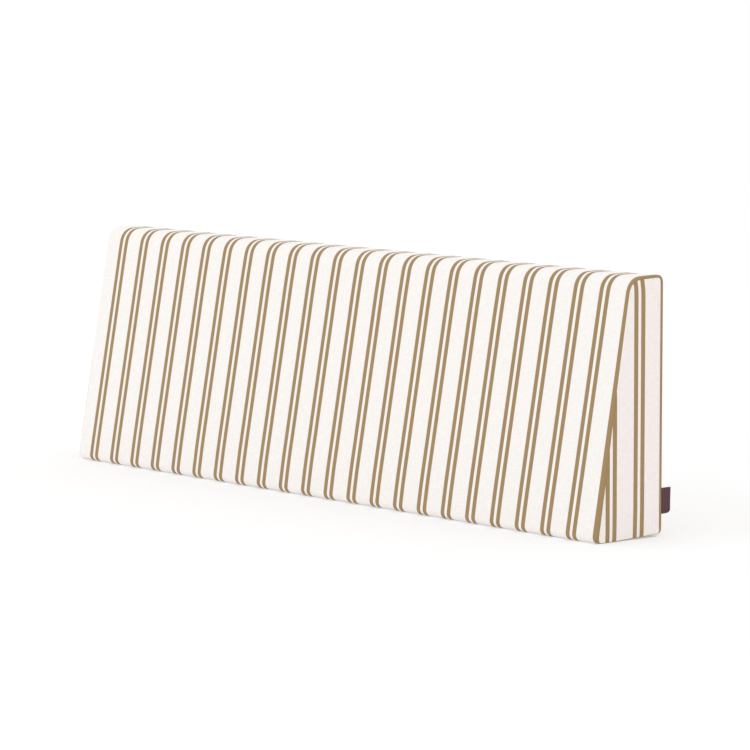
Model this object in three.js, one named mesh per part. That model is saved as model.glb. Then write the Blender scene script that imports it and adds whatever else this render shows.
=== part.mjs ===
// Long wedge back cushion: a filled body in one wrapped cloth panel, with a flat cloth panel
// sewn to each end and a small folded tab in the seam at the back of the right end.
// Millimetres. +X runs along the cushion to the right, +Y to the back, +Z up.
// The cushion stands on its wide base, and its box is centred over the origin.

import * as THREE from "three";

// Overall size, end panels included
const LENGTH = 1003;
const HEIGHT = 307;
const BASE_DEPTH = 109.5;
const TOP_DEPTH = 52.1;

// Roundings of the side outline
const TOP_FRONT_RADIUS = 20;
const TOP_BACK_RADIUS = 6;
const BOTTOM_FRONT_RADIUS = 9;
const BOTTOM_BACK_RADIUS = 6;

// How the filled body leaves the straight lines of its outline
const FRONT_CROWN = 3;
const TOP_DIP = 1.5;
const END_ROUND = 3;

// Cloth
const END_PANEL_THICKNESS = 1.6;
const SEAM_GAP = 0.3;
const TAB_LAYER = 0.7;
const TAB_SLIT = 0.2;
const TAB_HEIGHT = 31;
const TAB_ABOVE_BASE = 26;
const TAB_OUT = 13;
const TAB_ROOT = 2.4;
const TAB_CORNER = 6;

// Mesh steps
const POINT_SPACING = 15;
const LEAST_RADIUS = 1;
const LEAST_ARC_STEPS = 3;
const ARC_STEP = Math.PI / 12;
const LENGTH_STEPS = 30;
const ROUND_STEPS = 3;
const TAB_STEPS = 10;
const FOLD_STEPS = 5;

const CLOTH = { color: 0xfbf6f3, roughness: 0.95, metalness: 0 };
const END_CLOTH = { color: 0xf4ece9, roughness: 0.95, metalness: 0 };
const TAB_CLOTH = { color: 0x5c4248, roughness: 0.8, metalness: 0 };

// The four sides of the outline, from the base anticlockwise, each as a point and a direction.
// The outline lies in the plane of depth (first) and height (second).
const FRONT_LEAN = BASE_DEPTH - TOP_DEPTH;
const SIDES = [
  { from: [0, 0], along: [1, 0] },
  { from: [BASE_DEPTH, 0], along: [0, 1] },
  { from: [BASE_DEPTH, HEIGHT], along: [-1, 0] },
  { from: [FRONT_LEAN, HEIGHT], along: [-FRONT_LEAN, -HEIGHT] },
].map(({ from, along }) => ({
  from: new THREE.Vector2(...from),
  along: new THREE.Vector2(...along).normalize(),
}));
const CORNER_RADII = [BOTTOM_FRONT_RADIUS, BOTTOM_BACK_RADIUS, TOP_BACK_RADIUS, TOP_FRONT_RADIUS];

const inwards = (along) => new THREE.Vector2(-along.y, along.x);

// Where two sides, each moved inwards by inset, cross
function crossing(before, after, inset) {
  const a = before.from.clone().addScaledVector(inwards(before.along), inset);
  const b = after.from.clone().addScaledVector(inwards(after.along), inset);
  const reach = b.sub(a).cross(after.along) / before.along.cross(after.along);
  return a.addScaledVector(before.along, reach);
}

// One rounded corner as points on an arc from the side before it to the side after it
function cornerArc(before, after, radius, inset) {
  const centre = crossing(before, after, inset + radius);
  const turn = before.along.angleTo(after.along);
  const start = inwards(before.along).negate();
  const steps = Math.max(LEAST_ARC_STEPS, Math.round(turn / ARC_STEP));
  const points = [];
  for (let i = 0; i <= steps; i++) {
    const outwards = start.clone().rotateAround(new THREE.Vector2(), (turn * i) / steps);
    points.push(outwards.multiplyScalar(radius).add(centre));
  }
  return points;
}

// The side outline of the cushion, moved inwards by inset, with points along its straight sides
function outline(inset) {
  const points = [];
  const arcs = CORNER_RADII.map((radius, i) =>
    cornerArc(SIDES[(i + 3) % 4], SIDES[i], Math.max(radius - inset, LEAST_RADIUS), inset),
  );
  arcs.forEach((arc, i) => {
    const end = arc.at(-1);
    const next = arcs[(i + 1) % 4][0];
    const pieces = Math.max(1, Math.round(end.distanceTo(next) / POINT_SPACING));
    points.push(...arc);
    for (let k = 1; k < pieces; k++) {
      points.push(end.clone().lerp(next, k / pieces));
    }
  });
  return new THREE.Shape(points);
}

// Turns a shape of depth and height, extruded along its own Z, so that the extrusion runs along +X
const SHAPE_TO_PART = new THREE.Matrix4().makeBasis(
  new THREE.Vector3(0, 1, 0),
  new THREE.Vector3(0, 0, 1),
  new THREE.Vector3(1, 0, 0),
);

function named(name, geometry, cloth) {
  const mesh = new THREE.Mesh(geometry, new THREE.MeshStandardMaterial(cloth));
  mesh.name = name;
  return mesh;
}

// The filled body: rounded towards both ends, crowned in front and slightly dipped along the top.
// Its base and its back stay flat.
function cushionBody() {
  const reach = LENGTH / 2 - END_PANEL_THICKNESS - SEAM_GAP;
  const geometry = new THREE.ExtrudeGeometry(outline(0), {
    depth: 2 * (reach - END_ROUND),
    steps: LENGTH_STEPS,
    bevelEnabled: true,
    bevelThickness: END_ROUND,
    bevelSize: END_ROUND,
    bevelOffset: -END_ROUND,
    bevelSegments: ROUND_STEPS,
  });
  geometry.translate(0, 0, END_ROUND - reach);
  geometry.applyMatrix4(SHAPE_TO_PART);
  const place = geometry.getAttribute("position");
  for (let i = 0; i < place.count; i++) {
    const x = place.getX(i);
    const y = place.getY(i);
    const z = place.getZ(i);
    const middle = 1 - Math.min(1, Math.abs(x) / (reach - END_ROUND)) ** 3;
    const rise = z / HEIGHT;
    const frontY = FRONT_LEAN * rise;
    const towardsFront = (BASE_DEPTH - y) / (BASE_DEPTH - frontY);
    place.setY(i, y - FRONT_CROWN * middle * 4 * rise * (1 - rise) * towardsFront);
    place.setZ(i, z - TOP_DIP * middle * rise ** 3);
  }
  geometry.computeVertexNormals();
  return named("cushion_body", geometry, CLOTH);
}

// A flat cloth panel on one end of the body, as large as the flat part of that end
function endPanel(name, side) {
  const geometry = new THREE.ExtrudeGeometry(outline(END_ROUND), {
    depth: END_PANEL_THICKNESS,
    bevelEnabled: false,
  });
  geometry.applyMatrix4(SHAPE_TO_PART);
  const inner = side > 0 ? LENGTH / 2 - END_PANEL_THICKNESS : -LENGTH / 2;
  geometry.translate(inner, 0, 0);
  return named(name, geometry, END_CLOTH);
}

// The tab: a strip folded back on itself, its two layers side by side along X and the fold at
// the back. Its root lies on the rounding of the body's end, behind the edge of the end panel,
// and its lower outer corner is rounded off.
function sideTab() {
  const half = TAB_LAYER + TAB_SLIT / 2;
  const foldCentre = TAB_ROOT + TAB_OUT - half;
  const shape = new THREE.Shape();
  shape.moveTo(-half, 0);
  shape.lineTo(-TAB_SLIT / 2, 0);
  shape.lineTo(-TAB_SLIT / 2, foldCentre);
  shape.lineTo(TAB_SLIT / 2, foldCentre);
  shape.lineTo(TAB_SLIT / 2, 0);
  shape.lineTo(half, 0);
  shape.lineTo(half, foldCentre);
  for (let i = 1; i < 2 * FOLD_STEPS; i++) {
    const angle = (Math.PI * i) / (2 * FOLD_STEPS);
    shape.lineTo(half * Math.cos(angle), foldCentre + half * Math.sin(angle));
  }
  shape.lineTo(-half, foldCentre);
  const geometry = new THREE.ExtrudeGeometry(shape, {
    depth: TAB_HEIGHT,
    steps: TAB_STEPS,
    bevelEnabled: false,
  });
  const place = geometry.getAttribute("position");
  for (let i = 0; i < place.count; i++) {
    const below = Math.max(0, TAB_CORNER - place.getZ(i));
    const cut = TAB_CORNER - Math.sqrt(TAB_CORNER ** 2 - below ** 2);
    const reach = place.getY(i) / (TAB_ROOT + TAB_OUT);
    place.setY(i, place.getY(i) - cut * reach);
  }
  const outer = LENGTH / 2;
  geometry.translate(outer - half, BASE_DEPTH - TAB_ROOT, TAB_ABOVE_BASE);
  geometry.computeVertexNormals();
  return named("side_tab", geometry, TAB_CLOTH);
}

// The group is moved so that the middle of its box stands over the origin.
const cushion = new THREE.Group();
cushion.name = "back_cushion";
cushion.add(cushionBody());
cushion.add(endPanel("end_panel_right", 1));
cushion.add(endPanel("end_panel_left", -1));
cushion.add(sideTab());
const box = new THREE.Box3().setFromObject(cushion);
cushion.position.y = -(box.min.y + box.max.y) / 2;

export default cushion;
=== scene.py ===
"""Long wedge back cushion in striped cotton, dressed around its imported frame.

The cushion has a filled body in one wrapped cloth panel, a cloth panel sewn to each end and a
small folded tab in the seam at the back of the right end. Metres, +X along the cushion to its
right end, +Y to the vertical back, +Z up. The cushion stands on its wide base.
"""

import logging
import math
from dataclasses import dataclass, field
from enum import Enum

import bmesh
import bpy
import numpy as np
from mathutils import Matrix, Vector
from mathutils.kdtree import KDTree

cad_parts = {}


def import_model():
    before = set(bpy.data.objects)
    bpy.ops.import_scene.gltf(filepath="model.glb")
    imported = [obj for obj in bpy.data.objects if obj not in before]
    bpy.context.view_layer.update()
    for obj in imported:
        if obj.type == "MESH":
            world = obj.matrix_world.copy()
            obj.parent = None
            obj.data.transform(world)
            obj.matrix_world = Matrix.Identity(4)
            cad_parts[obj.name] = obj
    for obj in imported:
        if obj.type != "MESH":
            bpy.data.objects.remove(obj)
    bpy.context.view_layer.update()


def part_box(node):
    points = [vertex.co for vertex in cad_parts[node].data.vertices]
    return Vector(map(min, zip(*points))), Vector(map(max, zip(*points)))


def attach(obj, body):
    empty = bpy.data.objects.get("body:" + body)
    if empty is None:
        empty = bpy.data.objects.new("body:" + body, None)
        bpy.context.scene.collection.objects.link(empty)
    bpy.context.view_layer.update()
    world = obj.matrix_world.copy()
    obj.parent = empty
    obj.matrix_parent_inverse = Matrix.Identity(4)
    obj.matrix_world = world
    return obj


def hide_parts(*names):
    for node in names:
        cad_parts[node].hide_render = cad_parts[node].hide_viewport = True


log = logging.getLogger("back_cushion")

CLOTH_MAP = "cloth"

# Main panel, from the right end: the middle of its first stripe, and the last stripe's inner edge
FIRST_STRIPE_FROM_END = 0.97197
LAST_STRIPE_FROM_END = 0.00695

# End panels, from the sharp front corner of the base: the middle of a pair's first stripe
END_STRIPE_FROM_FRONT = 0.0206

# Distances too small to show, for comparing places
HELD_MARGIN = 1e-4
TOUCHING = 1e-5
ROUNDING_ERROR = 1e-6

# Mesh steps of the outline
LEAST_ARC_PIECES = 3
FINE_SPACING = 0.0005

Colour = tuple[float, float, float, float]
Socket = bpy.types.NodeSocket


class End(Enum):
    """The two ends of the cushion, as the sign of X there."""

    LEFT = -1
    RIGHT = 1


class Side(Enum):
    """The four sides of the outline, in the order in which it runs."""

    BASE = 0
    BACK = 1
    TOP = 2
    FRONT = 3


@dataclass(frozen=True)
class OutlinePoint:
    """A point of the side outline.

    Attributes:
        place: depth (Y) and height (Z).
        outwards: unit vector that leads out of the cushion there.
        run: distance along the outline from its start.
        seam_depth: how far the main panel reaches round onto the end, before its seam.
    """

    place: Vector
    outwards: Vector
    run: float
    seam_depth: float


def smooth(low: float, high: float, value: float) -> float:
    """Rises smoothly from 0 at low to 1 at high."""
    t = min(max((value - low) / (high - low), 0), 1)
    return t * t * (3 - 2 * t)


@dataclass(frozen=True)
class Wedge:
    """The cushion's side outline: a wedge with four rounded corners.

    Attributes:
        half_length: half of the overall length, end panels included.
        height: from the surface it stands on to the top.
        back: Y of the vertical back.
        base_depth: depth of the sharp-cornered outline at the base.
        top_depth: the same at the top.
        radii: corner radii at the front and back of the base, then the back and front of the top.
        spacing: distance between points along the straight sides.
        arc_step: angle between points round the corners, at that distance.
        base_seam: how far round the end the main panel reaches along the base.
        back_seam: the same along the back.
        top_seam: the same along the top.
        front_seam: the same at the upper front.
        front_seam_gain: how much further it reaches at the lower front.
        pull_reach: how far from each end its seam pulls the cloth.
        front_pull: how far the lower front draws back there.
        base_lift: how far the back of the base lifts there.
        lift_start: share of the depth, from the front, at which the lift begins.
        top_tilt: how much the top rises to the back there.
        tilt_pivot: share of the depth, from the front, at which the top stays level.
    """

    half_length: float
    height: float
    back: float
    base_depth: float = 0.1095
    top_depth: float = 0.0521
    radii: tuple[float, ...] = (0.008, 0.0080, 0.0095, 0.020)
    spacing: float = 0.0065
    arc_step: float = math.radians(16)
    base_seam: float = 0.0006
    back_seam: float = 0.0045
    top_seam: float = 0.0020
    front_seam: float = 0.0002
    front_seam_gain: float = 0.0026
    pull_reach: float = 0.02
    front_pull: float = 0.0023
    base_lift: float = 0.0024
    lift_start: float = 0.1
    top_tilt: float = 0.0016
    tilt_pivot: float = 0.4

    @classmethod
    def from_frame(cls) -> "Wedge":
        """Reads the length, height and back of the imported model.

        Returns:
            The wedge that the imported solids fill.
        """
        body_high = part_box("cushion_body")[1]
        end_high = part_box("end_panel_right")[1]
        return cls(half_length=end_high[0], height=body_high[2], back=body_high[1])

    @property
    def front(self) -> float:
        """Y of the sharp front corner of the base."""
        return self.back - self.base_depth

    @property
    def lean(self) -> float:
        """How far the front leans back over its height."""
        return self.base_depth - self.top_depth

    def front_at(self, z: float) -> float:
        """Y of the straight front at a height."""
        return self.front + self.lean * z / self.height

    def rise(self, z: float) -> float:
        """A height as a share of the whole, from 0 to 1."""
        return min(max(z / self.height, 0), 1)

    def corners(self) -> list[Vector]:
        """The four sharp corners, from the front of the base anticlockwise."""
        return [
            Vector((self.front, 0)),
            Vector((self.back, 0)),
            Vector((self.back, self.height)),
            Vector((self.front + self.lean, self.height)),
        ]

    def seam_depth(self, place: Vector, side: Side) -> float:
        """How far round the end the main panel reaches before its seam.

        Args:
            place: depth and height of a point of the outline.
            side: the side that the point is on.

        Returns:
            The distance from the outline, along the end, to the seam.
        """
        below = 1 - self.rise(place.y)
        return {
            Side.BASE: self.base_seam,
            Side.BACK: self.back_seam,
            Side.TOP: self.top_seam,
            Side.FRONT: self.front_seam + self.front_seam_gain * below**1.5,
        }[side]

    def drawn_in(self, y: float, z: float, width: float) -> tuple[float, float]:
        """Moves a point of the section towards its middle.

        Args:
            y: depth of the point.
            z: height of the point.
            width: how far a point on a side moves.

        Returns:
            The new depth and height.
        """
        half_depth = (self.back - self.front_at(z)) / 2
        half_height = self.height / 2
        new_y = y + (self.back - half_depth - y) * width / half_depth
        new_z = z + (half_height - z) * width / half_height
        return new_y, new_z

    def pulled(self, x: float, y: float, z: float) -> tuple[float, float]:
        """Where the end seams pull the cloth near the ends.

        The lower front draws back, the back of the base lifts and the top rises to the back.

        Args:
            x: place along the cushion.
            y: depth of the point.
            z: height of the point.

        Returns:
            The new depth and height.
        """
        near_end = smooth(self.half_length - self.pull_reach, self.half_length, abs(x))
        rise = self.rise(z)
        depth = self.back - self.front_at(z)
        backwards = min(max((y - self.front_at(z)) / depth, 0), 1)
        draw = self.front_pull * (1 - rise) * (1 - backwards)
        lift = self.base_lift * smooth(self.lift_start, 1, backwards) * (1 - rise) ** 4
        lift += self.top_tilt * (backwards - self.tilt_pivot) * rise**4
        return y + near_end * draw, z + near_end * lift

    def corner_arc(self, i: int, step: float) -> list[tuple[Vector, Vector, float]]:
        """One rounded corner of the outline.

        Args:
            i: the corner's number in the list of sharp corners.
            step: distance between the points of straight sides.

        Returns:
            The place, outward direction and seam depth of each point.
        """
        corners = self.corners()
        corner = corners[i]
        before = (corner - corners[i - 1]).normalized()
        after = (corners[(i + 1) % 4] - corner).normalized()
        turn = before.angle(after)
        radius = self.radii[i]
        start = corner - before * radius * math.tan(turn / 2)
        out = Vector((before.y, -before.x))
        centre = start - out * radius
        pieces = max(LEAST_ARC_PIECES, round(turn / self.arc_step * self.spacing / step))
        arc = []
        for k in range(pieces + 1):
            cos = math.cos(turn * k / pieces)
            sin = math.sin(turn * k / pieces)
            ray = Vector((out.x * cos - out.y * sin, out.x * sin + out.y * cos))
            place = centre + ray * radius
            share = smooth(0, 1, k / pieces)
            depth = (1 - share) * self.seam_depth(place, Side((i - 1) % 4))
            depth += share * self.seam_depth(place, Side(i))
            arc.append((place, ray, depth))
        return arc

    def points(self, spacing: float | None = None) -> list[OutlinePoint]:
        """The outline as points, from the middle of the base round by the back.

        Args:
            spacing: distance between the points of straight sides, or None for the usual one.

        Returns:
            The points in order. The last isn't the first again.
        """
        step = spacing or self.spacing
        arcs = [self.corner_arc(i, step) for i in range(4)]
        places = []
        straight_pieces = []
        for i, arc in enumerate(arcs):
            places.extend(arc)
            end, out, _ = arc[-1]
            following = arcs[(i + 1) % 4][0][0]
            pieces = max(1, round((following - end).length / step))
            straight_pieces.append(pieces)
            for k in range(1, pieces):
                place = end.lerp(following, k / pieces)
                places.append((place, out, self.seam_depth(place, Side(i))))
        start = len(arcs[0]) - 1 + straight_pieces[0] // 2
        places = places[start:] + places[:start]
        run = 0.0
        made = []
        for i, (place, out, depth) in enumerate(places):
            if i:
                run += (place - places[i - 1][0]).length
            made.append(OutlinePoint(place, out, run, depth))
        return made


class OutlineMap:
    """Finds where a point of a section lies against the side outline."""

    def __init__(self, wedge: Wedge) -> None:
        """Samples the outline finely.

        Args:
            wedge: the side outline.
        """
        self.points = wedge.points(spacing=FINE_SPACING)
        closing = self.points[0].place - self.points[-1].place
        self.girth = self.points[-1].run + closing.length
        self.tree = KDTree(len(self.points))
        for i, point in enumerate(self.points):
            self.tree.insert((point.place.x, point.place.y, 0), i)
        self.tree.balance()

    def nearest(self, y: float, z: float) -> tuple[OutlinePoint, float]:
        """The outline point nearest to a point of a section.

        Args:
            y: depth of the point.
            z: height of the point.

        Returns:
            The outline point, and how far inside it the given point lies.
        """
        _, index, _ = self.tree.find((y, z, 0))
        point = self.points[index]
        inside = (point.place - Vector((y, z))).dot(point.outwards)
        return point, inside


@dataclass(frozen=True)
class Relief:
    """How a bump shows.

    Attributes:
        distance: what a height of 1 stands for, in metres.
        strength: how much of it shows.
    """

    distance: float
    strength: float


class NodeBench:
    """Lays out the nodes of one material."""

    def __init__(self, name: str) -> None:
        """Makes the material with a bare shader.

        Args:
            name: the material's name.
        """
        self.material = bpy.data.materials.new(name)
        self.material.use_nodes = True
        self.tree = self.material.node_tree
        self.tree.nodes.clear()
        self.shader = self.tree.nodes.new("ShaderNodeBsdfPrincipled")
        output = self.tree.nodes.new("ShaderNodeOutputMaterial")
        self.tree.links.new(self.shader.outputs[0], output.inputs[0])

    def feed(self, socket: Socket, value: object) -> None:
        """Links a socket to another node's output, or sets its value.

        Args:
            socket: the input.
            value: an output socket, a number or a tuple.
        """
        if isinstance(value, Socket):
            self.tree.links.new(value, socket)
        else:
            socket.default_value = value

    def math(self, operation: str, *values: object) -> Socket:
        """Adds a Math node.

        Args:
            operation: the node's operation.
            values: its inputs, in order.

        Returns:
            The node's output.
        """
        node = self.tree.nodes.new("ShaderNodeMath")
        node.operation = operation
        for socket, value in zip(node.inputs, values):
            self.feed(socket, value)
        return node.outputs[0]

    def mix(self, factor: object, a: object, b: object) -> Socket:
        """Adds a Mix node between two colours.

        Args:
            factor: how much of b shows.
            a: the first colour.
            b: the second colour.

        Returns:
            The mixed colour.
        """
        node = self.tree.nodes.new("ShaderNodeMix")
        node.data_type = "RGBA"
        first, second = [s for s in node.inputs if s.type == "RGBA"]
        self.feed(node.inputs["Factor"], factor)
        self.feed(first, a)
        self.feed(second, b)
        return next(s for s in node.outputs if s.type == "RGBA")

    def scaled(self, colour: object, level: Socket) -> Socket:
        """Makes a colour lighter or darker.

        Args:
            colour: the colour, as a socket or three numbers.
            level: what to multiply it by.

        Returns:
            The new colour.
        """
        node = self.tree.nodes.new("ShaderNodeVectorMath")
        node.operation = "SCALE"
        self.feed(node.inputs[0], colour)
        self.feed(node.inputs["Scale"], level)
        return node.outputs[0]

    def uv(self) -> tuple[Socket, Socket, Socket]:
        """Reads the piece's own cloth map.

        Returns:
            The map as a vector, and its two coordinates in metres.
        """
        node = self.tree.nodes.new("ShaderNodeUVMap")
        node.uv_map = CLOTH_MAP
        parts = self.tree.nodes.new("ShaderNodeSeparateXYZ")
        self.tree.links.new(node.outputs[0], parts.inputs[0])
        return node.outputs[0], parts.outputs[0], parts.outputs[1]

    def noise(self, vector: Socket, across: float, along: float) -> Socket:
        """Adds a Noise Texture on stretched coordinates.

        Args:
            vector: the coordinates.
            across: repeats per metre along the first of them.
            along: repeats per metre along the second.

        Returns:
            The noise's value, from 0 to 1 about 0.5.
        """
        mapping = self.tree.nodes.new("ShaderNodeMapping")
        mapping.inputs["Scale"].default_value = (across, along, 1)
        self.tree.links.new(vector, mapping.inputs["Vector"])
        node = self.tree.nodes.new("ShaderNodeTexNoise")
        node.inputs["Scale"].default_value = 1.0
        node.inputs["Detail"].default_value = 2.0
        self.tree.links.new(mapping.outputs[0], node.inputs["Vector"])
        return node.outputs[0]

    def bump(self, height: Socket, relief: Relief, normal: Socket | None = None) -> Socket:
        """Adds a Bump node.

        Args:
            height: the height to follow.
            relief: how strongly to follow it.
            normal: another Bump node's output to build on, or None.

        Returns:
            The bumped normal.
        """
        node = self.tree.nodes.new("ShaderNodeBump")
        node.inputs["Distance"].default_value = relief.distance
        node.inputs["Strength"].default_value = relief.strength
        self.feed(node.inputs["Height"], height)
        if normal is not None:
            self.feed(node.inputs["Normal"], normal)
        return node.outputs[0]


@dataclass(frozen=True)
class StripedCotton:
    """Plain-woven off-white cotton with pairs of narrow tan stripes along the warp.

    The cloth map's first coordinate runs across the stripes and the second along them.

    Attributes:
        name: the material's name.
        first: cloth coordinate of the middle of the first stripe of a pair.
        repeat: from one pair of stripes to the next.
        apart: from the middle of a pair's first stripe to that of its second.
        width: width of one stripe.
        soft: width over which a stripe's edge fades.
        fray: how far that edge strays, as a share of the same width.
        ground: colour of the plain cloth.
        stripe: colour of the stripes.
        thread: thread spacing of the weave.
        slubs: thick places per metre, across a thread and along it.
        slub_tone: how much they change the cloth's lightness.
        weave_tone: how much the weave changes it.
        weave_relief: how the weave stands out.
        slub_relief: how the thick places stand out.
        edge_from: cloth coordinate past which the cloth is all stripe at the right end, or None.
    """

    name: str
    first: float
    repeat: float = 0.044
    apart: float = 0.01102
    width: float = 0.0066
    soft: float = 0.00035
    fray: float = 0.6
    ground: Colour = (0.90, 0.865, 0.838, 1)
    stripe: Colour = (0.345, 0.235, 0.112, 1)
    thread: float = 0.0009
    slubs: tuple[float, float] = (900, 90)
    slub_tone: float = 0.16
    weave_tone: float = 0.03
    weave_relief: Relief = Relief(0.00012, 0.6)
    slub_relief: Relief = Relief(0.0004, 0.35)
    edge_from: float | None = None

    def stripe_mask(self, bench: NodeBench, across: Socket, stray: Socket) -> Socket:
        """Where the stripes are.

        Args:
            bench: the material's nodes.
            across: the cloth coordinate across the stripes.
            stray: a noise about 0 that makes the edges a little uneven.

        Returns:
            1 on a stripe and 0 beside it.
        """
        start = bench.math("SUBTRACT", across, self.first - self.width / 2)
        phase = bench.math("FLOORED_MODULO", start, self.repeat)
        masks = []
        for shift in (0.0, self.apart):
            from_middle = bench.math("SUBTRACT", phase, shift + self.width / 2)
            distance = bench.math("ABSOLUTE", from_middle)
            inside = bench.math("SUBTRACT", self.width / 2 + self.soft / 2, distance)
            level = bench.math("MULTIPLY_ADD", stray, self.fray * self.soft, inside)
            masks.append(bench.math("DIVIDE", level, self.soft))
        found = bench.math("MAXIMUM", *masks)
        if self.edge_from is not None:
            past = bench.math("SUBTRACT", across, self.edge_from)
            found = bench.math("MAXIMUM", found, bench.math("DIVIDE", past, self.soft))
        return bench.math("MINIMUM", bench.math("MAXIMUM", found, 0.0), 1.0)

    def weave(self, bench: NodeBench, across: Socket, along: Socket) -> Socket:
        """The plain weave as a height.

        Args:
            bench: the material's nodes.
            across: the cloth coordinate across the warp.
            along: the cloth coordinate along it.

        Returns:
            Heights from -1 to 1.
        """
        rate = math.pi / self.thread
        warp = bench.math("SINE", bench.math("MULTIPLY", across, rate))
        weft = bench.math("SINE", bench.math("MULTIPLY", along, rate))
        return bench.math("MULTIPLY", warp, weft)

    def make(self) -> bpy.types.Material:
        """Builds the material.

        Returns:
            The finished material.
        """
        bench = NodeBench(self.name)
        vector, across, along = bench.uv()
        fine, coarse = self.slubs
        warp_slubs = bench.noise(vector, fine, coarse)
        weft_slubs = bench.noise(vector, coarse, fine)
        slub = bench.math("SUBTRACT", bench.math("ADD", warp_slubs, weft_slubs), 1.0)
        weave = self.weave(bench, across, along)
        mask = self.stripe_mask(bench, across, slub)
        level = bench.math("MULTIPLY_ADD", slub, self.slub_tone, 1.0)
        level = bench.math("MULTIPLY_ADD", weave, self.weave_tone, level)
        colour = bench.scaled(bench.mix(mask, self.ground, self.stripe), level)
        shader = bench.shader
        bench.feed(shader.inputs["Base Color"], colour)
        shader.inputs["Roughness"].default_value = 0.92
        shader.inputs["Specular IOR Level"].default_value = 0.15
        shader.inputs["Sheen Weight"].default_value = 0.12
        shader.inputs["Sheen Roughness"].default_value = 0.5
        normal = bench.bump(weave, self.weave_relief)
        bench.feed(shader.inputs["Normal"], bench.bump(slub, self.slub_relief, normal))
        return bench.material


@dataclass(frozen=True)
class TabRibbon:
    """Dense woven ribbon, dark plum brown.

    Attributes:
        name: the material's name.
        colour: the ribbon's colour.
        rib: spacing of its fine ribs.
        rib_tone: how much they change its lightness.
        fuzz: specks per metre of its uneven surface.
        fuzz_tone: how much the specks change its lightness.
        relief: how the ribs stand out.
    """

    name: str = "tab_ribbon"
    colour: tuple[float, float, float] = (0.083, 0.029, 0.039)
    rib: float = 0.00045
    rib_tone: float = 0.12
    fuzz: float = 2500
    fuzz_tone: float = 0.5
    relief: Relief = Relief(0.00008, 0.6)

    def make(self) -> bpy.types.Material:
        """Builds the material.

        Returns:
            The finished material.
        """
        bench = NodeBench(self.name)
        vector, across, along = bench.uv()
        rate = 2 * math.pi / self.rib
        weft = bench.math("SINE", bench.math("MULTIPLY", along, rate))
        warp = bench.math("SINE", bench.math("MULTIPLY", across, rate))
        ribs = bench.math("MULTIPLY", weft, warp)
        fuzz = bench.noise(vector, self.fuzz, self.fuzz)
        level = bench.math("MULTIPLY_ADD", fuzz, self.fuzz_tone, 1 - self.fuzz_tone / 2)
        level = bench.math("MULTIPLY_ADD", ribs, self.rib_tone, level)
        shader = bench.shader
        bench.feed(shader.inputs["Base Color"], bench.scaled(self.colour, level))
        shader.inputs["Roughness"].default_value = 0.7
        shader.inputs["Specular IOR Level"].default_value = 0.25
        shader.inputs["Sheen Weight"].default_value = 0.2
        bench.feed(shader.inputs["Normal"], bench.bump(ribs, self.relief))
        return bench.material


def finish_mesh(bm: bmesh.types.BMesh, name: str) -> bpy.types.Object:
    """Turns a bmesh into a smooth-shaded object at the origin.

    Args:
        bm: the bmesh, which is freed.
        name: the object's name.

    Returns:
        The new object, linked to the scene.
    """
    bm.normal_update()
    mesh = bpy.data.meshes.new(name)
    bm.to_mesh(mesh)
    bm.free()
    mesh.polygons.foreach_set("use_smooth", [True] * len(mesh.polygons))
    piece = bpy.data.objects.new(name, mesh)
    bpy.context.scene.collection.objects.link(piece)
    return piece


def subdivide(piece: bpy.types.Object, levels: int = 1) -> None:
    """Adds a Subdivision Surface modifier.

    Args:
        piece: the object.
        levels: its levels, the same in the view and the render.
    """
    modifier = piece.modifiers.new("smooth", "SUBSURF")
    modifier.levels = levels
    modifier.render_levels = levels


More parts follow.
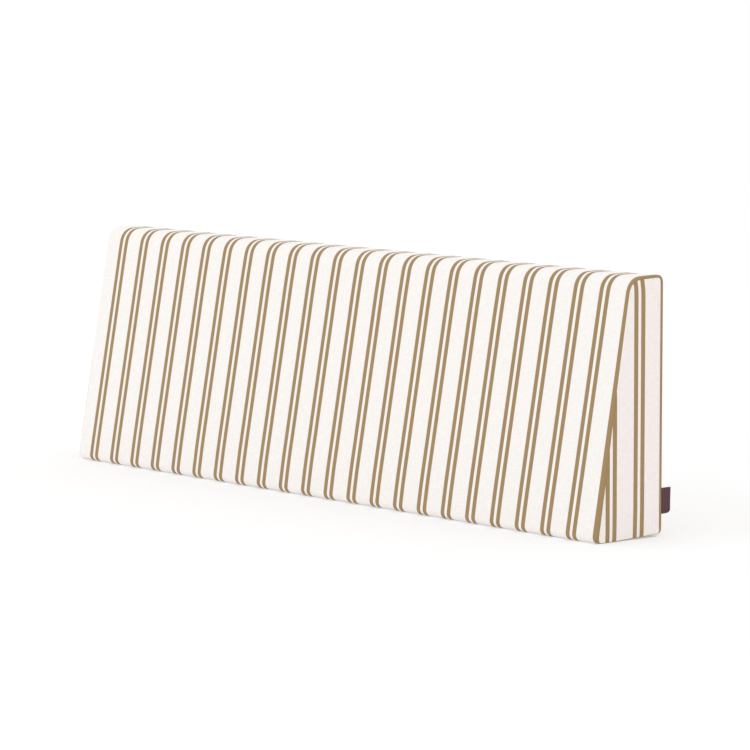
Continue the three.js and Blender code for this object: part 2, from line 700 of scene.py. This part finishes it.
@dataclass
class CushionBody:
    """The filled body with its wrapped main panel.

    Attributes:
        wedge: the side outline.
        outline: where points lie against it.
        cloth: the main panel's finish.
        rim: radius of the rounding between the main panel and the end.
        rim_steps: steps round it.
        roundest: most that the rim's depth along X grows where the seam lies further in.
        slice_step: distance between the mesh's sections along X.
        recess: how deep the end is sunk for the end panel.
        groove: width of the seam groove.
        sink: how far the rim draws back where the seam lies right at the edge.
        fade: how far onto the end the seam's place still shifts the mesh.
        pressure: the filling's pressure in the cloth simulation.
        cap: the most that the furthest point moves in it.
        frames: its last frame.
        back_puff: share of its puff that the back keeps.
        rest: the points' places before the simulation.
    """

    wedge: Wedge
    outline: OutlineMap
    cloth: StripedCotton
    rim: float = 0.003
    rim_steps: int = 3
    roundest: float = 1.2
    slice_step: float = 0.0065
    recess: float = 0.0014
    groove: float = 0.0004
    sink: float = 0.0018
    fade: float = 0.012
    pressure: float = 0.3
    cap: float = 0.0010
    frames: int = 20
    back_puff: float = 0.4
    rest: np.ndarray = field(default_factory=lambda: np.zeros((0, 3)))

    def shell(self) -> bmesh.types.BMesh:
        """Builds the closed form: the outline drawn out along X, with a rim and a sunk end.

        Returns:
            The closed bmesh.
        """
        bm = bmesh.new()
        start = self.rim - self.wedge.half_length
        verts = [bm.verts.new((start, p.place.x, p.place.y)) for p in self.wedge.points()]
        cap = bmesh.ops.contextual_create(bm, geom=verts)["faces"][0]
        slices = round(-2 * start / self.slice_step)
        for k in range(slices):
            drawn = bmesh.ops.extrude_face_region(bm, geom=[cap])["geom"]
            moved = [g for g in drawn if isinstance(g, bmesh.types.BMVert)]
            bmesh.ops.translate(bm, verts=moved, vec=(-2 * start / slices, 0, 0))
            if k > 0 and cap.is_valid:
                bmesh.ops.delete(bm, geom=[cap], context="FACES_ONLY")
            cap = next(g for g in drawn if isinstance(g, bmesh.types.BMFace))
        bmesh.ops.recalc_face_normals(bm, faces=bm.faces)
        for end in [f for f in bm.faces if len(f.verts) > 4]:
            self.round_end(bm, end)
        return bm

    def round_end(self, bm: bmesh.types.BMesh, end: bmesh.types.BMFace) -> None:
        """Rounds an end into its rim, and sinks the part that the end panel covers.

        Args:
            bm: the body's bmesh.
            end: the end's flat face.
        """
        for k in range(self.rim_steps):
            low = math.pi / 2 * k / self.rim_steps
            high = math.pi / 2 * (k + 1) / self.rim_steps
            inset = self.rim * (math.cos(low) - math.cos(high))
            out = self.rim * (math.sin(high) - math.sin(low))
            self.ring(bm, end, inset, out)
        for _ in range(2):
            self.ring(bm, end, self.groove / 2, -self.recess / 2)

    @staticmethod
    def ring(bm: bmesh.types.BMesh, face: bmesh.types.BMFace, inset: float, out: float) -> None:
        """Insets a face, then moves it along its normal.

        Args:
            bm: the bmesh.
            face: the face.
            inset: how far its edges move inwards.
            out: how far it moves outwards.
        """
        bmesh.ops.inset_individual(
            bm, faces=[face], thickness=inset, depth=out, use_even_offset=True, use_interpolate=True
        )

    def place_seam(self, bm: bmesh.types.BMesh) -> None:
        """Moves the seam to its own distance from the outline on each side.

        Args:
            bm: the body's bmesh.
        """
        half_length = self.wedge.half_length
        for vert in bm.verts:
            if abs(vert.co.x) < half_length - self.rim + ROUNDING_ERROR:
                continue
            point, inside = self.outline.nearest(vert.co.y, vert.co.z)
            share = point.seam_depth / self.rim
            sunk = self.sink * (1 - smooth(0, self.rim, point.seam_depth))
            reach = abs(vert.co.x)
            if inside <= self.rim + ROUNDING_ERROR:
                wanted = inside * share
                reach = half_length - (half_length - reach) * min(share, self.roundest)
            else:
                keep = min((inside - self.rim) / self.fade, 1)
                wanted = inside - (self.rim - point.seam_depth) * (1 - keep)
            vert.co.x = math.copysign(min(reach, half_length - sunk), vert.co.x)
            move = point.outwards * (inside - wanted)
            vert.co.y += move.x
            vert.co.z += move.y

    def puff(self, piece: bpy.types.Object) -> None:
        """Blows the cloth out over its filling with a cloth simulation, and keeps the result.

        Args:
            piece: the body. Its rims are held in place.
        """
        held = piece.vertex_groups.new(name="held")
        limit = self.wedge.half_length - self.rim - HELD_MARGIN
        held.add([v.index for v in piece.data.vertices if abs(v.co.x) > limit], 1.0, "REPLACE")
        modifier = piece.modifiers.new("puff", "CLOTH")
        cloth = modifier.settings
        cloth.quality = 6
        cloth.mass = 0.25
        cloth.tension_stiffness = 30
        cloth.compression_stiffness = 20
        cloth.shear_stiffness = 12
        cloth.bending_stiffness = 2.0
        cloth.use_pressure = True
        cloth.uniform_pressure_force = self.pressure
        cloth.effector_weights.gravity = 0
        cloth.vertex_group_mass = "held"
        modifier.point_cache.frame_start = 1
        modifier.point_cache.frame_end = self.frames
        scene = bpy.context.scene
        for frame in range(1, self.frames + 1):
            scene.frame_set(frame)
        shaped = piece.evaluated_get(bpy.context.evaluated_depsgraph_get())
        places = np.empty(len(piece.data.vertices) * 3)
        shaped.data.vertices.foreach_get("co", places)
        piece.modifiers.remove(modifier)
        piece.vertex_groups.remove(held)
        scene.frame_set(1)
        moved = places.reshape(-1, 3) - self.rest
        furthest = np.linalg.norm(moved, axis=1).max()
        log.info("simulation moved points by up to %.1f mm", 1000 * furthest)
        kept = self.rest + moved * min(1, self.cap / furthest)
        piece.data.vertices.foreach_set("co", kept.ravel())

    def settle(self, piece: bpy.types.Object) -> None:
        """Flattens what rests on the surface, and keeps the back nearly flat.

        Args:
            piece: the body.
        """
        for vert, rest in zip(piece.data.vertices, self.rest):
            vert.co.z = 0.0 if rest[2] < TOUCHING else max(vert.co.z, 0.0)
            over = vert.co.y - self.wedge.back
            if over > 0:
                vert.co.y = self.wedge.back + self.back_puff * over

    def map_cloth(self, piece: bpy.types.Object) -> None:
        """Gives the body its cloth map, from the places before the simulation.

        Args:
            piece: the body.
        """
        rim_from = self.wedge.half_length - self.rim - ROUNDING_ERROR
        girth = self.outline.girth
        coordinates = []
        for x, y, z in self.rest:
            point, inside = self.outline.nearest(y, z)
            wrapped = max(inside, 0) if abs(x) > rim_from else 0
            coordinates.append((x + math.copysign(wrapped, x), point.run))
        layer = piece.data.uv_layers.new(name=CLOTH_MAP)
        values = np.zeros((len(piece.data.loops), 2))
        for face in piece.data.polygons:
            runs = [coordinates[v][1] for v in face.vertices]
            split = max(runs) - min(runs) > girth / 2
            for loop, v in zip(face.loop_indices, face.vertices):
                across, run = coordinates[v]
                if split and run < girth / 2:
                    run += girth
                values[loop] = across, run
        layer.data.foreach_set("uv", values.ravel())

    def build(self) -> bpy.types.Object:
        """Builds, puffs, maps and dresses the body.

        Returns:
            The finished piece.
        """
        bm = self.shell()
        self.place_seam(bm)
        piece = finish_mesh(bm, "filled_body")
        self.rest = np.array([v.co[:] for v in piece.data.vertices])
        self.map_cloth(piece)
        self.puff(piece)
        self.settle(piece)
        for vert in piece.data.vertices:
            vert.co.yz = self.wedge.pulled(*vert.co)
        subdivide(piece)
        piece.data.materials.append(self.cloth.make())
        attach(piece, "root")
        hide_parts("cushion_body")
        return piece


@dataclass
class EndPanel:
    """A flat cloth panel sewn to one end.

    Attributes:
        wedge: the side outline.
        outline: where points lie against it.
        end: which end it is on.
        cloth: its finish.
        thickness: thickness of the cloth.
        seam_share: its edge's distance from the outline, as a share of the seam's.
        tuck: how far its edge turns in at the seam.
        tuck_reach: how far from the seam that shows.
        swell: how far its middle stands out.
        swell_reach: how far from the seam the middle begins.
        skew: how far the top seam drags the cloth to the front.
        skew_reach: how far down that shows.
        step: spacing of the mesh.
        hem_rings: distances between the mesh's closer rings along the edge.
    """

    wedge: Wedge
    outline: OutlineMap
    end: End
    cloth: StripedCotton
    thickness: float = 0.0012
    seam_share: float = 1.04
    tuck: float = 0.0006
    tuck_reach: float = 0.0022
    swell: float = 0.0006
    swell_reach: float = 0.04
    skew: float = 0.0020
    skew_reach: float = 0.018
    step: float = 0.006
    hem_rings: tuple[float, ...] = (0.0004, 0.0005, 0.0006)

    def cut(self) -> bmesh.types.BMesh:
        """Cuts the panel flat, inside the seam, and gives it its mesh.

        Returns:
            The flat bmesh at the end.
        """
        bm = bmesh.new()
        x = self.end.value * (self.wedge.half_length - self.swell)
        verts = []
        for point in self.wedge.points(spacing=self.step):
            place = point.place - point.outwards * point.seam_depth * self.seam_share
            verts.append(bm.verts.new((x, place.x, place.y)))
        middle = bmesh.ops.contextual_create(bm, geom=verts)["faces"][0]
        for width in self.hem_rings:
            bmesh.ops.inset_individual(bm, faces=[middle], thickness=0)
            for vert in middle.verts:
                vert.co.yz = self.wedge.drawn_in(vert.co.y, vert.co.z, width)
        self.slice(bm, [middle])
        return bm

    def slice(self, bm: bmesh.types.BMesh, faces: list[bmesh.types.BMFace]) -> None:
        """Cuts faces of the flat panel into a grid.

        Args:
            bm: the flat panel.
            faces: the faces.
        """
        for normal, low, high in (
            ((0, 1, 0), self.wedge.front, self.wedge.back),
            ((0, 0, 1), 0, self.wedge.height),
        ):
            for k in range(1, round((high - low) / self.step)):
                place = tuple(n * (low + k * self.step) for n in normal)
                edges = {e for f in faces for e in f.edges}
                verts = {v for f in faces for v in f.verts}
                cut = bmesh.ops.bisect_plane(
                    bm, geom=[*faces, *edges, *verts], dist=TOUCHING, plane_co=place, plane_no=normal
                )
                faces = [g for g in cut["geom"] if isinstance(g, bmesh.types.BMFace)]

    def shape(self, bm: bmesh.types.BMesh) -> None:
        """Swells the panel's middle, turns its edge in at the seam and faces it outwards.

        Args:
            bm: the flat panel.
        """
        for vert in bm.verts:
            point, inside = self.outline.nearest(vert.co.y, vert.co.z)
            from_seam = inside - point.seam_depth
            out = self.swell * smooth(0, self.swell_reach, from_seam)
            out -= self.tuck * (1 - smooth(0, self.tuck_reach, from_seam))
            vert.co.x += self.end.value * out
        bm.normal_update()
        inwards = [f for f in bm.faces if f.normal.x * self.end.value < 0]
        bmesh.ops.reverse_faces(bm, faces=inwards)
        for vert in bm.verts:
            vert.co.yz = self.wedge.pulled(*vert.co)

    def map_cloth(self, bm: bmesh.types.BMesh) -> None:
        """Gives the panel its cloth map.

        Args:
            bm: the shaped panel.
        """
        layer = bm.loops.layers.uv.new(CLOTH_MAP)
        for face in bm.faces:
            for loop in face.loops:
                y, z = loop.vert.co.yz
                drag = self.skew * smooth(-self.skew_reach, 0, z - self.wedge.height)
                loop[layer].uv = (y + drag, z)

    def build(self) -> bpy.types.Object:
        """Builds and dresses the panel.

        Returns:
            The finished piece.
        """
        bm = self.cut()
        area = sum(f.calc_area() for f in bm.faces)
        self.shape(bm)
        self.map_cloth(bm)
        side = self.end.name.lower()
        piece = finish_mesh(bm, f"end_cloth_{side}")
        solid = piece.modifiers.new("thick", "SOLIDIFY")
        solid.thickness = self.thickness
        solid.offset = -1
        subdivide(piece)
        piece.data.materials.append(self.cloth.make())
        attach(piece, "root")
        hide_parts(f"end_panel_{side}")
        return piece


@dataclass
class SideTab:
    """The small folded tab in the back seam of the right end.

    Attributes:
        ribbon: its finish.
        low: height of its lower edge.
        high: height of its upper edge.
        tip: Y of its fold.
        root: Y of its root, inside the seam.
        middle: X midway between its layers.
        thickness: thickness of one layer.
        fold: radius of the fold.
        squeeze: share of that radius by which each layer stands off the middle.
        corner: radius of its lower outer corner.
        lean: share of its reach that the fold loses from top to bottom.
        curl: how far its lower outer corner turns out.
        lift: how far that corner lifts.
        run_steps: steps of the mesh along the strip.
        rise_steps: steps up it.
    """

    ribbon: TabRibbon
    low: float
    high: float
    tip: float
    root: float
    middle: float
    thickness: float = 0.0006
    fold: float = 0.0005
    squeeze: float = 0.8
    corner: float = 0.0035
    lean: float = 0.11
    curl: float = 0.0012
    lift: float = 0.0010
    run_steps: int = 40
    rise_steps: int = 16

    @classmethod
    def from_frame(cls, ribbon: TabRibbon) -> "SideTab":
        """Reads the tab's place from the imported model.

        Args:
            ribbon: the tab's finish.

        Returns:
            The tab.
        """
        low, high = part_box("side_tab")
        return cls(
            ribbon=ribbon,
            low=low[2],
            high=high[2],
            tip=high[1],
            root=low[1],
            middle=(low[0] + high[0]) / 2,
        )

    @property
    def depth(self) -> float:
        """From the tab's root to its fold."""
        return self.tip - self.root

    @property
    def height(self) -> float:
        """From its lower edge to its upper edge."""
        return self.high - self.low

    def folded(self, run: float, rise: float) -> Vector:
        """Where a point of the strip lies once it is folded.

        Args:
            run: distance from the fold along the strip, negative on the inner layer.
            rise: 0 at the lower edge to 1 at the upper edge.

        Returns:
            The point's place.
        """
        bend = math.pi / 2 * self.fold
        if abs(run) < bend:
            angle = run / self.fold
            x = self.fold * math.sin(angle)
            y = self.depth - self.fold + self.fold * math.cos(angle)
        else:
            x = math.copysign(self.fold, run)
            y = self.depth - self.fold - (abs(run) - bend)
        reach = min(max(y / self.depth, 0), 1)
        below = max(0, 1 - rise * self.height / self.corner)
        rounding = self.corner / self.depth * (1 - math.sqrt(1 - below**2))
        taper = 1 - self.lean * (1 - rise) * reach - rounding * reach
        out = self.curl * reach**2 * (1 - rise) ** 2
        up = self.lift * reach**2 * (1 - rise) ** 3
        return Vector(
            (
                self.middle + x * self.squeeze + out,
                self.root + y * taper,
                self.low + rise * self.height + up,
            )
        )

    def build(self) -> bpy.types.Object:
        """Folds the strip, gives it its thickness and dresses it.

        Returns:
            The finished piece.
        """
        bm = bmesh.new()
        bmesh.ops.create_grid(
            bm, x_segments=self.run_steps, y_segments=self.rise_steps, size=0.5
        )
        layer = bm.loops.layers.uv.new(CLOTH_MAP)
        for face in bm.faces:
            for loop in face.loops:
                place = loop.vert.co
                loop[layer].uv = (place.x * 2 * self.depth, place.y * self.height)
        for vert in bm.verts:
            vert.co = self.folded(vert.co.x * 2 * self.depth, vert.co.y + 0.5)
        bmesh.ops.recalc_face_normals(bm, faces=bm.faces)
        piece = finish_mesh(bm, "folded_tab")
        solid = piece.modifiers.new("thick", "SOLIDIFY")
        solid.thickness = self.thickness
        solid.offset = 0
        subdivide(piece)
        piece.data.materials.append(self.ribbon.make())
        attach(piece, "root")
        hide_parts("side_tab")
        return piece


@dataclass(frozen=True)
class Studio:
    """Pale floor, soft light and the camera at the photograph's place.

    Attributes:
        end: X of the cushion's right end.
        front: Y of the sharp front corner of the base.
        camera_place: the camera's place from that end, that corner and the floor.
        azimuth: degrees to the right of the front from which it looks.
        elevation: degrees above the horizon.
        lens: focal length for a frame as wide as the sensor.
        sensor: width of the sensor in millimetres.
        floor_size: side of the square floor.
        floor_grey: how light the floor is.
        floor_glow: how strongly it glows of itself, which keeps the shadows on it pale.
        sky: strength of the white light from all round.
        lamp_place: where the one lamp hangs.
        lamp_size: the lamp's side.
        lamp_power: its power in watts.
        lamp_aim: height above the origin at which it points.
    """

    end: float
    front: float
    camera_place: tuple[float, float, float] = (3.5110, -3.3388, 0.7404)
    azimuth: float = 49.445
    elevation: float = 6.40
    lens: float = 203.2
    sensor: float = 36.0
    floor_size: float = 400.0
    floor_grey: float = 0.75
    floor_glow: float = 0.225
    sky: float = 1.04
    lamp_place: tuple[float, float, float] = (-1.2, -3.5, 2.6)
    lamp_size: float = 2.5
    lamp_power: float = 14
    lamp_aim: float = 0.15

    @staticmethod
    def aimed(name: str, data: bpy.types.ID, place: Vector, ahead: Vector) -> bpy.types.Object:
        """Puts a camera or a lamp in its place.

        Args:
            name: the object's name.
            data: the camera or the lamp.
            place: where it stands.
            ahead: the direction in which it looks.

        Returns:
            The new object.
        """
        item = bpy.data.objects.new(name, data)
        bpy.context.scene.collection.objects.link(item)
        item.location = place
        item.rotation_mode = "QUATERNION"
        item.rotation_quaternion = ahead.to_track_quat("-Z", "Y")
        return item

    def camera(self) -> None:
        """Makes the scene's camera."""
        data = bpy.data.cameras.new("camera")
        data.lens = self.lens
        data.sensor_width = self.sensor
        data.clip_start = 0.1
        data.clip_end = 500.0
        turn = math.radians(self.azimuth)
        tilt = math.radians(self.elevation)
        level = Vector((-math.sin(turn), math.cos(turn), 0)) * math.cos(tilt)
        ahead = level - Vector((0, 0, math.sin(tilt)))
        place = Vector(self.camera_place) + Vector((self.end, self.front, 0))
        bpy.context.scene.camera = self.aimed("camera", data, place, ahead)

    def floor(self) -> None:
        """Lays the pale floor."""
        bm = bmesh.new()
        bmesh.ops.create_grid(bm, x_segments=1, y_segments=1, size=self.floor_size / 2)
        floor = finish_mesh(bm, "studio_floor")
        bench = NodeBench("pale_floor")
        inputs = bench.shader.inputs
        inputs["Base Color"].default_value = (self.floor_grey,) * 3 + (1,)
        inputs["Emission Color"].default_value = (1, 1, 1, 1)
        inputs["Emission Strength"].default_value = self.floor_glow
        inputs["Roughness"].default_value = 1.0
        inputs["Specular IOR Level"].default_value = 0.0
        floor.data.materials.append(bench.material)

    def light(self) -> None:
        """Adds white light from all round and one soft square lamp."""
        world = bpy.data.worlds.new("studio")
        world.use_nodes = True
        background = world.node_tree.nodes["Background"]
        background.inputs["Color"].default_value = (1, 1, 1, 1)
        background.inputs["Strength"].default_value = self.sky
        bpy.context.scene.world = world
        data = bpy.data.lights.new("key", "AREA")
        data.size = self.lamp_size
        data.energy = self.lamp_power
        place = Vector(self.lamp_place)
        self.aimed("key", data, place, Vector((0, 0, self.lamp_aim)) - place)

    def build(self) -> None:
        """Builds the studio."""
        self.camera()
        self.floor()
        self.light()
        bpy.context.scene.view_settings.view_transform = "Standard"


def main() -> None:
    """Loads the frame, builds the cushion's pieces in order, and sets up the studio."""
    logging.basicConfig(level=logging.INFO, format="%(name)s: %(message)s")
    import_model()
    wedge = Wedge.from_frame()
    outline = OutlineMap(wedge)
    main_cloth = StripedCotton(
        name="main_cotton",
        first=wedge.half_length - FIRST_STRIPE_FROM_END,
        edge_from=wedge.half_length - LAST_STRIPE_FROM_END,
    )
    end_cloth = StripedCotton(
        name="end_cotton",
        first=wedge.front + END_STRIPE_FROM_FRONT,
        ground=(0.89, 0.828, 0.802, 1),
    )
    pieces = [CushionBody(wedge=wedge, outline=outline, cloth=main_cloth).build()]
    for end in End:
        pieces.append(EndPanel(wedge=wedge, outline=outline, end=end, cloth=end_cloth).build())
    pieces.append(SideTab.from_frame(TabRibbon()).build())
    for piece in pieces:
        log.info("%s has %d vertices", piece.name, len(piece.data.vertices))
    Studio(end=wedge.half_length, front=wedge.front).build()


if __name__ == "__main__":
    main()
